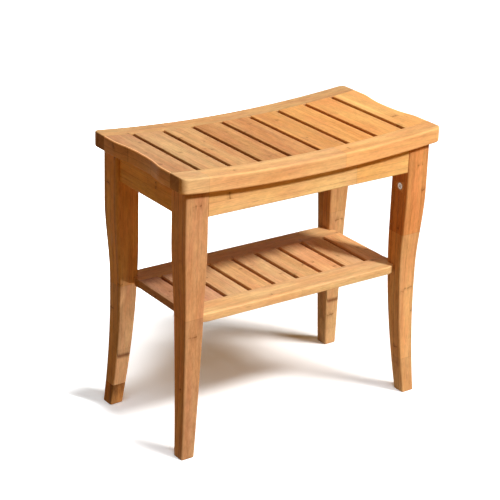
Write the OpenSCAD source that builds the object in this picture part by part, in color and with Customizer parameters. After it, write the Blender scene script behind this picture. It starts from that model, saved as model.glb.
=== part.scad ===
// Bathroom stool of laminated bamboo: dipped slatted seat, doweled leg frame and slatted shelf.
// Millimetres, +Z up, +X along the seat, front towards -Y, origin on the floor under the middle.

/* [Overall] */
// Length of the seat from end to end
seat_l = 476; // [450:1:520]
// Depth of the seat from front to back
seat_d = 254; // [240:1:290]
// Height of the seat ends above the floor
stool_h = 457; // [440:1:500]

/* [Seat] */
// Thickness of the seat boards
seat_t = 24; // [20:1:30]
// Dip of the seat in the middle of its length
seat_sag = 12; // [6:1:18]
// Width of the rails along the front and back of the seat
seat_rail_w = 34; // [30:1:40]
// Width of the board at each end of the seat
seat_end_w = 45.5; // [40:0.5:54]
// Number of slats across the seat
seat_slats = 7; // [5:1:9]
// Width of the slots between the seat slats
seat_slot_w = 7; // [5:0.5:10]
// Radius of the seat corners seen from above
seat_corner_r = 10; // [5:1:14]
// Radius of the long outer edges of the seat rails
seat_edge_r = 3; // [1:0.5:6]
// Depth of the hollow in each end of the seat
scoop_d = 7; // [3:0.5:10]
// Width of the hollow in each end of the seat
scoop_w = 134; // [100:2:160]

/* [Legs] */
// Side of the square block at the top of a leg
leg_w = 40; // [38:1:46]
// Side of the square foot
foot_w = 23; // [18:1:30]
// Seat overhang past the legs at the ends
overhang_x = 12.5; // [8:0.5:18]
// Seat overhang past the legs at the front and back
overhang_y = 11; // [8:0.5:16]
// How far the outer faces of a leg draw in at its waist
waist_in = 6; // [2:0.5:9]
// How far the foot stands out past the block above
foot_out = 1.4; // [0:0.2:4]
// Height where the outer faces start to draw in
waist_start = 352; // [325:1:370]
// Height of the upper end of the waist
waist_top = 215; // [200:1:240]
// Height of the lower end of the waist, where the foot starts to flare
waist_low = 180; // [150:1:195]
// Height where the inner faces start to taper
taper_start = 280; // [240:1:310]
// Radius of the upright edges of a leg
leg_edge_r = 3; // [1:0.5:5]

/* [Aprons] */
// Height of the aprons at the ends of the seat
apron_h = 47; // [42:1:56]
// Thickness of the aprons
apron_t = 16; // [14:1:20]
// Step from the leg faces back to the front and back aprons
apron_in_y = 1.5; // [0.5:0.5:3]
// Step from the leg faces back to the side aprons
apron_in_x = 5; // [2:0.5:6]
// Radius of the lower edges of the aprons
apron_edge_r = 2; // [1:0.5:4]

/* [Shelf] */
// Height of the shelf top above the floor
shelf_z = 224; // [200:1:250]
// How far the shelf ends reach past the inner faces of the legs
shelf_past_x = 9.5; // [7:0.5:20]
// How far the shelf rails reach past the inner faces of the legs
shelf_past_y = 22; // [18:0.5:28]
// Thickness of the shelf boards
shelf_t = 13; // [12:1:18]
// Width of the rails along the front and back of the shelf
shelf_rail_w = 40; // [34:1:46]
// Width of the board at each end of the shelf
shelf_end_w = 34; // [30:1:44]
// Number of slats across the shelf
shelf_slats = 7; // [5:1:9]
// Width of the slots between the shelf slats
shelf_slot_w = 7; // [5:0.5:9]
// Length over which a shelf rail rounds off towards the leg
shelf_nose_l = 19; // [12:1:30]
// How far the shelf rail's front corner falls back at the leg
shelf_nose_d = 5; // [2:0.5:8]
// Radius of the outer corners of the shelf ends
shelf_corner_r = 6; // [2:0.5:8]

/* [Joinery] */
// Diameter of the dowels between aprons and legs
dowel_d = 8; // [6:0.5:9]
// Depth of each end of an apron dowel
dowel_in = 15; // [12:0.5:16]
// Diameter of the dowels between shelf and legs
shelf_dowel_d = 6; // [5:0.5:8]
// Length of the tenons on the slats
tenon_l = 10; // [6:0.5:12]
// Shoulder left on each side of a tenon
tenon_shoulder = 8; // [5:0.5:10]
// Thickness of the tenons as a share of the board
tenon_share = 0.34; // [0.25:0.01:0.4]
// Radius of the upper and lower edges of the slats
slat_edge_r = 1.5; // [0.5:0.5:3]
// Clearance round dowels, tenons, studs and locks
fit_gap = 0.1; // [0.05:0.05:0.3]

/* [Seat fixings] */
// Diameter of the cam lock let into the leg
cam_d = 12; // [10:0.5:15]
// Depth of the cam lock
cam_depth = 16; // [14:0.5:18]
// Distance from the underside of the seat end down to the cam lock
cam_drop = 73.5; // [66:0.5:78]
// Distance from the outer leg face at the front or back to the cam lock
cam_in_y = 18; // [16:0.5:19]
// Diameter of the stud that ties the seat to the cam lock
stud_d = 6; // [5:0.5:7]
// Diameter of the stud's head inside the cam lock
stud_head_d = 7.6; // [7.2:0.1:8]
// Length of the stud's head
stud_head_l = 5; // [4:0.5:6]
// Depth that the stud is screwed into the seat rail
stud_in_seat = 14; // [10:0.5:16]

/* [Hidden] */
$fn = 48;
// Segments in a full circle of the seat's long dip
dip_fn = 720;
// Overrun of cuts past the faces that they open
over = 4;
// Steps along the curved part of a leg and round each of its edges
leg_steps = 18;
leg_edge_steps = 3;
// Steps along the hollow in the end of the seat
scoop_steps = 36;
// Exponents of the leg's flare and taper and of the hollow's shoulders
leg_power = 1.85;
scoop_power = 3;

bamboo = "burlywood";
bamboo_light = "navajowhite";
bamboo_dark = "peru";
steel = "silver";

dip_r = (seat_l * seat_l / 4 + seat_sag * seat_sag) / (2 * seat_sag);
dip_z = stool_h - seat_sag + dip_r;
under_r = dip_r + seat_t;
seat_inner_d = seat_d - 2 * seat_rail_w;
seat_slat_w = (seat_l - 2 * seat_end_w - (seat_slats + 1) * seat_slot_w) / seat_slats;
seat_pitch = seat_slat_w + seat_slot_w;
seat_end_x = (seat_l - seat_end_w) / 2;
seat_tenon_t = seat_t * tenon_share;

leg_x = seat_l / 2 - overhang_x;
leg_y = seat_d / 2 - overhang_y;
leg_in_x = leg_x - leg_w;
leg_in_y = leg_y - leg_w;

apron_z = stool_h - seat_t - apron_h;
apron_x = leg_x - apron_in_x - apron_t / 2;
apron_y = leg_y - apron_in_y - apron_t / 2;
// Heights of the two dowels in an apron end, as shares of the apron's height
dowel_shares = [0.24, 0.66];

notch_x = leg_in_x + leg_taper(shelf_z) - fit_gap;
notch_y = leg_in_y + leg_taper(shelf_z) - fit_gap;
shelf_l = 2 * (notch_x + shelf_past_x);
shelf_d = 2 * (notch_y + shelf_past_y);
shelf_inner_d = shelf_d - 2 * shelf_rail_w;
shelf_slat_w = (shelf_l - 2 * shelf_end_w - (shelf_slats + 1) * shelf_slot_w) / shelf_slats;
shelf_pitch = shelf_slat_w + shelf_slot_w;
shelf_end_x = (shelf_l - shelf_end_w) / 2;
shelf_tenon_t = shelf_t * tenon_share;
shelf_nose_r = (shelf_nose_l * shelf_nose_l + shelf_nose_d * shelf_nose_d) / (2 * shelf_nose_d);
shelf_dowel_y = (notch_y + shelf_d / 2 - shelf_nose_d) / 2;
shelf_dowel_z = shelf_z - shelf_t / 2;

// Place of the stud along the cam lock's depth
stud_place_share = 0.56;
// Width and depth of the cross recess in the cam lock's face, as shares of its diameter
cam_slot_share = 0.11;
cam_sink_share = 0.14;
cam_x = leg_in_x + cam_depth * stud_place_share;
cam_y = leg_y - cam_in_y;
cam_z = stool_h - seat_t - cam_drop;
stud_bore_d = stud_head_d + 4 * fit_gap;
stud_neck_d = stud_d * 2 / 3;
stud_top = under_z(cam_x) + stud_in_seat;

// Height of the seat's underside at a distance along its length
function under_z(x) = dip_z - sqrt(under_r * under_r - x * x);

// Smooth step from 0 to 1
function ease(t) = (1 - cos(180 * min(max(t, 0), 1))) / 2;

// Curve that leaves the upright gently and reaches 1 at the floor
function flare(t) = pow(max(t, 0), leg_power);

// How far the inner faces of a leg stand back from the block at a height
function leg_taper(z) = (leg_w + foot_out - foot_w) * flare((taper_start - z) / taper_start);

// How far the outer faces of a leg stand back from the block at a height
function leg_waist(z) =
    waist_in * ease((waist_start - z) / (waist_start - waist_top))
    - (waist_in + foot_out) * flare((waist_low - z) / waist_low);

// Outline of the leg in the back right quadrant at a height, with its four edges rounded
function leg_outline(z) =
    let (lo = leg_taper(z) + leg_edge_r, hi = leg_w - leg_waist(z) - leg_edge_r)
    [for (corner = [0:3], step = [0:leg_edge_steps])
        let (a = 90 * (corner + step / leg_edge_steps))
        [
            leg_in_x + (corner == 0 || corner == 3 ? hi : lo) + leg_edge_r * cos(a),
            leg_in_y + (corner < 2 ? hi : lo) + leg_edge_r * sin(a),
            z
        ]];

// Depth of the hollow in the seat end at a distance from the middle
function scoop_at(y) = scoop_d * pow(1 - pow(abs(2 * y / scoop_w), scoop_power), 2);

// Middle of a numbered board in a row of boards
function board_x(i, count, pitch) = (i - (count + 1) / 2) * pitch;

// Turns what is drawn for the right back quadrant to the quadrant with the given signs
module quadrant(x, y) {
    mirror([x < 0 ? 1 : 0, 0, 0])
        mirror([0, y < 0 ? 1 : 0, 0])
            children();
}

// Repeats what is drawn for the right back quadrant in all four
module all_quadrants() {
    for (x = [-1, 1], y = [-1, 1])
        quadrant(x, y) children();
}

// Stands on the dip: x, y and the upward axis follow the curve of the seat at a distance along it
module on_dip(x) {
    translate([0, 0, dip_z])
        rotate([0, -asin(x / dip_r), 0])
            translate([0, 0, -dip_r])
                children();
}

// Rectangle with four rounded corners
module soft_rect(w, h, r) {
    translate([r, 0]) square([w - 2 * r, h]);
    translate([0, r]) square([w, h - 2 * r]);
    for (x = [r, w - r], y = [r, h - r])
        translate([x, y]) circle(r);
}

// Rectangle with its two corners on the y = 0 side rounded
module soft_rail(w, h, r) {
    translate([r, 0]) square([w - 2 * r, h]);
    translate([0, r]) square([w, h - r]);
    for (x = [r, w - r])
        translate([x, r]) circle(r);
}

// Everything above the seat's underside
module above_underside() {
    translate([0, 0, dip_z])
        rotate([90, 0, 0])
            cylinder(r = under_r, h = seat_d, center = true, $fn = dip_fn);
}

// Outline of the seat seen from above
module seat_plan() {
    difference() {
        translate([-seat_l / 2, -seat_d / 2])
            soft_rect(seat_l, seat_d, seat_corner_r);
        for (x = [0, 1])
            mirror([x, 0]) polygon(concat(
                [for (i = [0:scoop_steps])
                    let (y = scoop_w * (i / scoop_steps - 1 / 2))
                    [seat_l / 2 - scoop_at(y), y]],
                [[seat_l / 2 + over, scoop_w / 2], [seat_l / 2 + over, -scoop_w / 2]]
            ));
    }
}

module seat_block() {
    translate([0, 0, apron_z])
        linear_extrude(stool_h - apron_z + over) seat_plan();
}

// Tenon, or with a gap the mortise for it, of a seat board whose middle is on the dip
module seat_tenon(w, gap) {
    tenon_w = w - 2 * tenon_shoulder + 2 * gap;
    tenon_t = seat_tenon_t + 2 * gap;
    translate([-tenon_w / 2, -seat_inner_d / 2 - tenon_l - gap, -(seat_t + tenon_t) / 2])
        cube([tenon_w, seat_inner_d + 2 * tenon_l + 2 * gap, tenon_t]);
}

// Board from rail to rail across the seat, with spare width on its outer side to be trimmed off;
// its flat underside stays just inside the dip
module seat_board(x, w, spare) {
    flat = under_r - sqrt(under_r * under_r - w * w / 4);
    on_dip(x) {
        translate([-w / 2, 0, -seat_t + flat])
            rotate([90, 0, 0])
                linear_extrude(seat_inner_d, center = true)
                    soft_rect(w + spare, seat_t - flat, slat_edge_r);
        seat_tenon(w, 0);
    }
}

module seat_slat(i) {
    color(i % 2 == 0 ? bamboo_light : bamboo)
        seat_board(board_x(i, seat_slats, seat_pitch), seat_slat_w, 0);
}

module seat_end_board(side) {
    color(bamboo_light)
        quadrant(side, 1) intersection() {
            seat_board(seat_end_x, seat_end_w, over);
            seat_block();
        }
}

module seat_rail(side) {
    sweep = asin(seat_l / 2 / dip_r) + 1 / 2;
    color(bamboo) quadrant(1, side) difference() {
        intersection() {
            translate([0, seat_d / 2, dip_z])
                rotate([90, 0, 0])
                    rotate_extrude(angle = 2 * sweep, start = -90 - sweep, $fn = dip_fn)
                        translate([dip_r, 0]) soft_rail(seat_t, seat_rail_w, seat_edge_r);
            seat_block();
        }
        for (i = [1:seat_slats])
            on_dip(board_x(i, seat_slats, seat_pitch)) seat_tenon(seat_slat_w, fit_gap);
        for (x = [-1, 1]) {
            on_dip(x * seat_end_x) seat_tenon(seat_end_w, fit_gap);
            translate([x * cam_x, cam_y, cam_z])
                cylinder(d = stud_d + 2 * fit_gap, h = stud_top - cam_z + fit_gap);
        }
    }
}

// Dowels, or with a gap the bores for them, in the back right quadrant
module apron_dowel_set(gap) {
    r = dowel_d / 2 + gap;
    h = 2 * dowel_in + 2 * gap;
    for (share = dowel_shares) {
        translate([leg_in_x, apron_y, apron_z + share * apron_h])
            rotate([0, 90, 0]) cylinder(r = r, h = h, center = true);
        translate([apron_x, leg_in_y, apron_z + share * apron_h])
            rotate([90, 0, 0]) cylinder(r = r, h = h, center = true);
    }
}

module shelf_dowel_set(gap) {
    translate([notch_x, shelf_dowel_y, shelf_dowel_z])
        rotate([0, 90, 0])
            cylinder(r = shelf_dowel_d / 2 + gap, h = 2 * dowel_in + 2 * gap, center = true);
}

// Shaft of the stud down to the middle of the cam lock, or with a gap its bore
module stud_bore() {
    translate([cam_x, cam_y, cam_z - stud_head_l / 2 - fit_gap])
        cylinder(d = stud_bore_d, h = under_z(cam_x) - cam_z + stud_head_l);
}

module cam_hole() {
    translate([leg_in_x - over, cam_y, cam_z])
        rotate([0, 90, 0])
            cylinder(d = cam_d + 2 * fit_gap, h = cam_depth + over + fit_gap);
}

module leg(x, y) {
    heights = concat(
        [for (i = [-1:leg_steps]) waist_start * i / leg_steps],
        [stool_h]
    );
    ring = 4 * (leg_edge_steps + 1);
    last = len(heights) - 1;
    color(bamboo) quadrant(x, y) difference() {
        polyhedron(
            points = [for (z = heights) each leg_outline(z)],
            faces = concat(
                [[for (i = [0:ring - 1]) i]],
                [for (k = [0:last - 1], i = [0:ring - 1])
                    let (j = (i + 1) % ring)
                    [k * ring + i, (k + 1) * ring + i, (k + 1) * ring + j, k * ring + j]],
                [[for (i = [ring - 1:-1:0]) last * ring + i]]
            )
        );
        // The floor trims the foot level
        translate([0, 0, -waist_start])
            cube([seat_l, seat_d, waist_start]);
        above_underside();
        apron_dowel_set(fit_gap);
        shelf_dowel_set(fit_gap);
        cam_hole();
        stud_bore();
    }
}

// Apron board along X, its lower edges rounded, its top cut to the dip
module apron_long(side) {
    color(bamboo_light) quadrant(1, side) difference() {
        translate([-leg_in_x, apron_y - apron_t / 2, apron_z])
            rotate([90, 0, 90])
                linear_extrude(2 * leg_in_x) soft_rect(apron_t, 2 * apron_h, apron_edge_r);
        above_underside();
        for (x = [-1, 1])
            quadrant(x, 1) apron_dowel_set(fit_gap);
    }
}

module apron_short(side) {
    color(bamboo_dark) quadrant(side, 1) difference() {
        translate([apron_x - apron_t / 2, 0, apron_z])
            rotate([90, 0, 0])
                linear_extrude(2 * leg_in_y, center = true)
                    soft_rect(apron_t, 2 * apron_h, apron_edge_r);
        above_underside();
        for (y = [-1, 1])
            quadrant(1, y) apron_dowel_set(fit_gap);
    }
}

// What the shelf's outline loses at its back right corner: the notch round the leg,
// the long rounding of the rail and the short rounding of the end
module shelf_corner_cut() {
    translate([notch_x, notch_y]) square([shelf_l, shelf_d]);
    difference() {
        translate([notch_x - shelf_nose_l, shelf_d / 2 - shelf_nose_d])
            square([shelf_nose_l + over, shelf_nose_d + over]);
        translate([notch_x - shelf_nose_l, shelf_d / 2 - shelf_nose_r])
            circle(shelf_nose_r, $fn = 4 * $fn);
    }
    difference() {
        translate([shelf_l / 2 - shelf_corner_r, notch_y - shelf_corner_r])
            square(shelf_corner_r + over);
        translate([shelf_l / 2 - shelf_corner_r, notch_y - shelf_corner_r])
            circle(shelf_corner_r);
    }
}

module shelf_block() {
    translate([0, 0, shelf_z - 2 * shelf_t])
        linear_extrude(3 * shelf_t)
            difference() {
                square([shelf_l, shelf_d], center = true);
                for (x = [0, 1], y = [0, 1])
                    mirror([x, 0]) mirror([0, y]) shelf_corner_cut();
            }
}

module shelf_tenon(x, w, gap) {
    tenon_w = w - 2 * tenon_shoulder + 2 * gap;
    tenon_t = shelf_tenon_t + 2 * gap;
    translate([x, 0, shelf_z - shelf_t / 2])
        cube([tenon_w, shelf_inner_d + 2 * tenon_l + 2 * gap, tenon_t], center = true);
}

module shelf_board(x, w) {
    translate([x - w / 2, 0, shelf_z - shelf_t])
        rotate([90, 0, 0])
            linear_extrude(shelf_inner_d, center = true)
                soft_rect(w, shelf_t, slat_edge_r);
    shelf_tenon(x, w, 0);
}

module shelf_slat(i) {
    color(i % 2 == 0 ? bamboo_light : bamboo)
        shelf_board(board_x(i, shelf_slats, shelf_pitch), shelf_slat_w);
}

module shelf_end_board(side) {
    color(bamboo_light)
        quadrant(side, 1) shelf_board(shelf_end_x, shelf_end_w);
}

module shelf_rail(side) {
    color(bamboo) quadrant(1, side) difference() {
        intersection() {
            translate([-shelf_l / 2, shelf_d / 2, shelf_z - shelf_t])
                rotate([90, 0, 90])
                    linear_extrude(shelf_l)
                        rotate(90) soft_rail(shelf_t, shelf_rail_w, slat_edge_r);
            shelf_block();
        }
        for (i = [1:shelf_slats])
            shelf_tenon(board_x(i, shelf_slats, shelf_pitch), shelf_slat_w, fit_gap);
        for (x = [-1, 1]) {
            shelf_tenon(x * shelf_end_x, shelf_end_w, fit_gap);
            quadrant(x, 1) shelf_dowel_set(fit_gap);
        }
    }
}

module apron_dowels() {
    color(bamboo_dark) all_quadrants() apron_dowel_set(0);
}

module shelf_dowels() {
    color(bamboo_dark) all_quadrants() shelf_dowel_set(0);
}

// Stud with a head and a narrow neck at its lower end, screwed into the seat rail above
module seat_studs() {
    color(steel) all_quadrants() translate([cam_x, cam_y, cam_z]) {
        translate([0, 0, -stud_head_l / 2])
            cylinder(d = stud_head_d, h = stud_head_l);
        cylinder(d = stud_neck_d, h = stud_top - cam_z);
        translate([0, 0, cam_d / 2])
            cylinder(d = stud_d, h = stud_top - cam_z - cam_d / 2);
    }
}

// Round lock with a pocket for the stud's head and a cross recess in its face
module cam_locks() {
    slot = [2 * cam_d * cam_sink_share, cam_d * cam_slot_share, cam_d / 2];
    color(steel) all_quadrants() difference() {
        translate([leg_in_x, cam_y, cam_z])
            rotate([0, 90, 0]) cylinder(d = cam_d, h = cam_depth);
        stud_bore();
        for (a = [45, 135])
            translate([leg_in_x, cam_y, cam_z])
                rotate([a, 0, 0]) cube(slot, center = true);
    }
}

seat_rail(-1);  // seat_front_rail
seat_rail(1);  // seat_back_rail
seat_end_board(-1);  // seat_end_board_left
seat_end_board(1);  // seat_end_board_right
for (i = [1:seat_slats])
    seat_slat(i);
leg(-1, -1);  // leg_front_left
leg(1, -1);  // leg_front_right
leg(-1, 1);  // leg_back_left
leg(1, 1);  // leg_back_right
apron_long(-1);  // apron_front
apron_long(1);  // apron_back
apron_short(-1);  // apron_left
apron_short(1);  // apron_right
shelf_rail(-1);  // shelf_front_rail
shelf_rail(1);  // shelf_back_rail
shelf_end_board(-1);  // shelf_end_board_left
shelf_end_board(1);  // shelf_end_board_right
for (i = [1:shelf_slats])
    shelf_slat(i);
apron_dowels();
shelf_dowels();
seat_studs();
cam_locks();
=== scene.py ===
"""Bathroom stool of laminated bamboo, dressed over its CAD frame."""

import math
import random

import bmesh
import bpy
from mathutils import Matrix, Vector


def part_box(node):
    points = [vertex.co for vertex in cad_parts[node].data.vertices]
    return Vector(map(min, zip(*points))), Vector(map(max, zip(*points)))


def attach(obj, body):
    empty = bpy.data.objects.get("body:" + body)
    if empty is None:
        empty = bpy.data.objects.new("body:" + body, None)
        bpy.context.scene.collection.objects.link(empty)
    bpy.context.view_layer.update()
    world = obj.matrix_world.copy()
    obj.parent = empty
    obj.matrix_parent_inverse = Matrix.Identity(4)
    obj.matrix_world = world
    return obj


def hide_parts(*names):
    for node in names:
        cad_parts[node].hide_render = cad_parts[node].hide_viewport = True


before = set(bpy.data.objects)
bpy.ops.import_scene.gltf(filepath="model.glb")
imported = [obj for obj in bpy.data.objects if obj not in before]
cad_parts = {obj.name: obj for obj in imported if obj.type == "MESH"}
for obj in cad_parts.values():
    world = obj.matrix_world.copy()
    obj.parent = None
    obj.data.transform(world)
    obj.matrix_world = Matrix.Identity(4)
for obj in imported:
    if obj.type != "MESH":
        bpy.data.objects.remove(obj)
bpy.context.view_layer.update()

# A millimetre in metres
MM = 0.001


def span(node, axis):
    """Lowest and highest place of a CAD node along an axis, in millimetres."""
    low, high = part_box(node)
    number = "xyz".index(axis)
    return round(low[number] / MM, 2), round(high[number] / MM, 2)


def count(kind):
    """How many CAD nodes there are of a kind that is numbered."""
    return sum(node.startswith(kind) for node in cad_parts)


def srgb(red, green, blue):
    """Linear colour of an sRGB colour given from 0 to 255."""
    def linear(value):
        value /= 255
        return value / 12.92 if value <= 0.04045 else ((value + 0.055) / 1.055) ** 2.4
    return (linear(red), linear(green), linear(blue), 1)


# Seat: places from the frame, all sizes in millimetres. Its top and underside are arcs
SEAT_L = 2 * span("seat_back_rail", "x")[1]
SEAT_D = 2 * span("seat_back_rail", "y")[1]
STOOL_H = span("seat_back_rail", "z")[1]
SEAT_SAG = 12
SEAT_T = STOOL_H - SEAT_SAG - span("seat_back_rail", "z")[0]
SEAT_RAIL_W = SEAT_D / 2 - span("seat_back_rail", "y")[0]
SEAT_END_W = 45.5
SEAT_SLATS = count("seat_slat_")
SEAT_SLOT_W = 7
SEAT_CORNER_R = 10
SEAT_EDGE_R = 3
SEAT_END_R = 1.5
SCOOP_D = 7
SCOOP_W = 134
SCOOP_POWER = 3
SLAT_EDGE_R = 1.5
DIP_R = (SEAT_L * SEAT_L / 4 + SEAT_SAG * SEAT_SAG) / (2 * SEAT_SAG)
DIP_Z = STOOL_H - SEAT_SAG + DIP_R

# Legs: a block at the top, a waist in the outer faces and a taper in the inner ones
FOOT_W = 23
FOOT_OUT = 1.4
LEG_X = span("leg_back_right", "x")[1] - FOOT_OUT
LEG_Y = span("leg_back_right", "y")[1] - FOOT_OUT
LEG_W = LEG_X - span("leg_back_right", "x")[0]
WAIST_IN = 6
WAIST_START = 352
WAIST_TOP = 215
WAIST_LOW = 180
TAPER_START = 280
LEG_POWER = 1.85
LEG_EDGE_R = 3
FOOT_EDGE_R = 1.2

# Aprons
APRON_Z = span("apron_back", "z")[0]
APRON_EDGE_R = 2

# Shelf: its height and thickness, how far it reaches past the notches for the legs, its boards,
# and the length and depth of the round by which its rails fall back at the notches
SHELF_Z = span("shelf_back_rail", "z")[1]
SHELF_T = SHELF_Z - span("shelf_back_rail", "z")[0]
SHELF_PAST_X = 9.5
SHELF_PAST_Y = 22
SHELF_RAIL_W = 40
SHELF_END_W = 34
SHELF_SLATS = count("shelf_slat_")
SHELF_SLOT_W = 7
SHELF_NOSE_L = 19
SHELF_NOSE_D = 5
SHELF_CORNER_R = 6

# Clearance between the shelf and the legs, and round the cam locks
FIT_GAP = 0.1

# Cam locks in the inner leg faces, and how far in from a leg's outer side their axis lies
CAM_R = (span("cam_locks", "z")[1] - span("cam_locks", "z")[0]) / 2
CAM_IN_Y = 18
CAM_Y = LEG_Y - CAM_IN_Y
CAM_Z = span("cam_locks", "z")[1] - CAM_R
CAM_DEPTH = span("cam_locks", "x")[1] - (LEG_X - LEG_W)
CAM_SEGMENTS = 64

# Small edges that every cut board has, and the steps of a quarter round
CRISP_R = 0.35
ARC_STEPS = 4

# Distances between the rings that a board is lofted through, and how many rings a leg has
SEAT_RAIL_PITCH = 12
HOLLOW_PITCH = 4
SLAT_PITCH = 24
APRON_PITCH = 16
SHELF_RAIL_PITCH = 14
SHELF_END_PITCH = 60
LEG_RINGS = 56

# Rings on both sides of a step in a board's outline, points that hold a flat face flat next to
# a rounded corner, and the distance at which two places count as one
STEP = 0.02
SUPPORT = 2.0
NEAR = 0.001

# Painted shade line at the end of a board: its width and strength
LINE_W = 1.2
LINE_DARK = 0.4

# Shading: edges sharper than this angle, in degrees, stay sharp, and elsewhere the larger faces
# set the shading in full
SHARP_ANGLE = 50
FULL_WEIGHT = 100

# Marks of a point: rounded corners are rubbed, sides that face a slot get painted shade, and the
# upper outer edge of the seat's ends gets a painted highlight
RUBBED = 1
SHADED_SLOT_SIDE = -1
PAINTED_HIGHLIGHT = 3

# Strips that each kind of board is glued up from, across and through
SEAT_RAIL_STRIPS = (5, 2)
SEAT_BOARD_STRIPS = (7, 2)
LEG_STRIPS = (3, 4)
APRON_STRIPS = (2, 4)
SHELF_STRIPS = (6, 1)

# Length of the blocks in a strip, how many blocks they are staggered by from strip to strip, the
# share of a strip that is planed off the outer ones, and the number of the block at a joint that
# goes right through a board
BLOCK_L = 310
STAGGER = 9.0
PLANED_OFF = 0.2
FIRST_BLOCK = 50

# Ranges that a board's place in the grain, its first block and strips, and its tint are drawn
# from
GRAIN_SHIFT = 4
BLOCK_NUMBERS = 50
STRIP_NUMBERS = 500
TINT_SWING = 0.4

# Boards whose strips all end at the same glued joints. For each block: where it ends, and what it
# adds to the board's tone, warmth, rosiness and fade, the last being painted shade from side to
# side
LAST = math.inf
BLOCKS = {
    "seat_front_rail_wood": ((-193, -0.2, -0.4, 0, 0), (52, 0, 0, 0, 0), (LAST, -0.2, 0.5, 0, 0)),
    "seat_back_rail_wood": ((-120, -0.1, 0, 0, 0), (141, 0.1, 0.1, 0, 0), (LAST, -0.2, 0, 0, 0)),
    "leg_front_left_wood": ((226, -1.2, -0.1, 0, 2.6), (LAST, 0, 0, 0, 0)),
    "leg_front_right_wood": ((61, -0.55, -0.8, -0.7, 1.8), (280, -0.1, -0.7, -0.7, 1.8),
                             (LAST, -0.5, 0.4, 0.3, 0)),
    "leg_back_left_wood": ((36, -4.8, 1.0, 1.2, 5.8), (100, -0.5, -1.1, 0.4, 2.2),
                           (211, -0.2, -1.1, 0.4, 0.6), (LAST, 0, 0, 0, 0)),
    "leg_back_right_wood": ((31, -0.1, -0.2, 0, 0), (255, -0.3, -0.1, 0, 0),
                            (LAST, -0.7, 0.2, 0, 0)),
    "apron_front_wood": ((84, 0.1, -0.2, 0, 0), (LAST, -0.2, 0.6, 0, 0)),
}
ONE_BLOCK = ((LAST, 0, 0, 0, 0),)
JOINT_GAP = 0.05

# Tone, warmth, rosiness and fade of single boards, as seen on the real one. Fade is painted shade:
# the tone that the board gains from its low side to its high one, through its thickness, which
# makes one face lighter or darker than another
TINTS = {
    "seat_front_rail_wood": (0.8, 0.25, -0.1, -1.1),
    "seat_back_rail_wood": (-1.2, 0.4, -0.1, 0),
    "seat_end_board_left_wood": (0.1, 0.2, 0.5, -1.8),
    "seat_end_board_right_wood": (0.3, 1.0, -0.4, 0),
    "seat_slat_1_wood": (-1.1, 0.1, -0.1, 0),
    "seat_slat_2_wood": (-1.3, 0.6, 0.3, 0),
    "seat_slat_3_wood": (-1.6, 1.2, 0.7, 0),
    "seat_slat_4_wood": (-1.4, 1.2, 0.7, 0),
    "seat_slat_5_wood": (-0.9, 1.4, 0.1, 0),
    "seat_slat_6_wood": (-0.4, 1.6, 0.2, 0),
    "seat_slat_7_wood": (-0.3, 1.5, 0.1, 0),
    "leg_front_left_wood": (-1.5, 0.3, 0.7, 1.2),
    "leg_front_right_wood": (-1.0, 1.2, 0.8, -0.9),
    "leg_back_left_wood": (-0.4, 1.0, -0.3, -1.3),
    "leg_back_right_wood": (-0.8, 0.3, 0.2, 0),
    "apron_front_wood": (0.4, 0.2, -0.9, 0),
    "apron_left_wood": (-0.5, 1.1, -0.5, 0),
    "shelf_front_rail_wood": (-0.9, -0.2, -0.5, 0.8),
    "shelf_end_board_left_wood": (-1.8, -0.1, 1.1, 0),
    "shelf_slat_1_wood": (-0.4, -0.5, 0.9, 0),
}


# Curves of the stool

def dip(x):
    """Height of the seat's top at a distance along it."""
    return DIP_Z - math.sqrt(DIP_R ** 2 - x * x)


def underside(x):
    """Height of the seat's underside at a distance along it."""
    return DIP_Z - math.sqrt((DIP_R + SEAT_T) ** 2 - x * x)


def on_seat(x, drop):
    """Height of a point that lies a drop, from 0 to SEAT_T, under the seat's curved top."""
    return dip(x) + (underside(x) - dip(x)) * drop / SEAT_T


def scoop(y):
    """Depth of the hollow in the seat's end at a distance from the middle."""
    return SCOOP_D * max(1 - abs(2 * y / SCOOP_W) ** SCOOP_POWER, 0) ** 2


def turned_in(distance, radius):
    """How far a quarter round of that radius has drawn in at a distance past its start."""
    past = min(max(distance, 0), radius)
    return radius - math.sqrt(radius ** 2 - past ** 2)


def ease(share):
    """Smooth step from 0 to 1."""
    return (1 - math.cos(math.pi * min(max(share, 0), 1))) / 2


def flare(share):
    """Curve that leaves the upright gently and reaches 1 at the floor."""
    return max(share, 0) ** LEG_POWER


def leg_taper(z):
    """How far the inner faces of a leg stand back from its block at a height."""
    return (LEG_W + FOOT_OUT - FOOT_W) * flare((TAPER_START - z) / TAPER_START)


def leg_waist(z):
    """How far the outer faces of a leg stand back from its block at a height."""
    return (WAIST_IN * ease((WAIST_START - z) / (WAIST_START - WAIST_TOP))
            - (WAIST_IN + FOOT_OUT) * flare((WAIST_LOW - z) / WAIST_LOW))


# Where the shelf's notches meet the legs, and the round by which its rails fall back there
NOTCH_X = LEG_X - LEG_W + leg_taper(SHELF_Z) - FIT_GAP
NOTCH_Y = LEG_Y - LEG_W + leg_taper(SHELF_Z) - FIT_GAP
SHELF_L = 2 * (NOTCH_X + SHELF_PAST_X)
SHELF_D = 2 * (NOTCH_Y + SHELF_PAST_Y)
NOSE_R = (SHELF_NOSE_L ** 2 + SHELF_NOSE_D ** 2) / (2 * SHELF_NOSE_D)


# Cross-sections and lofts

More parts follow.
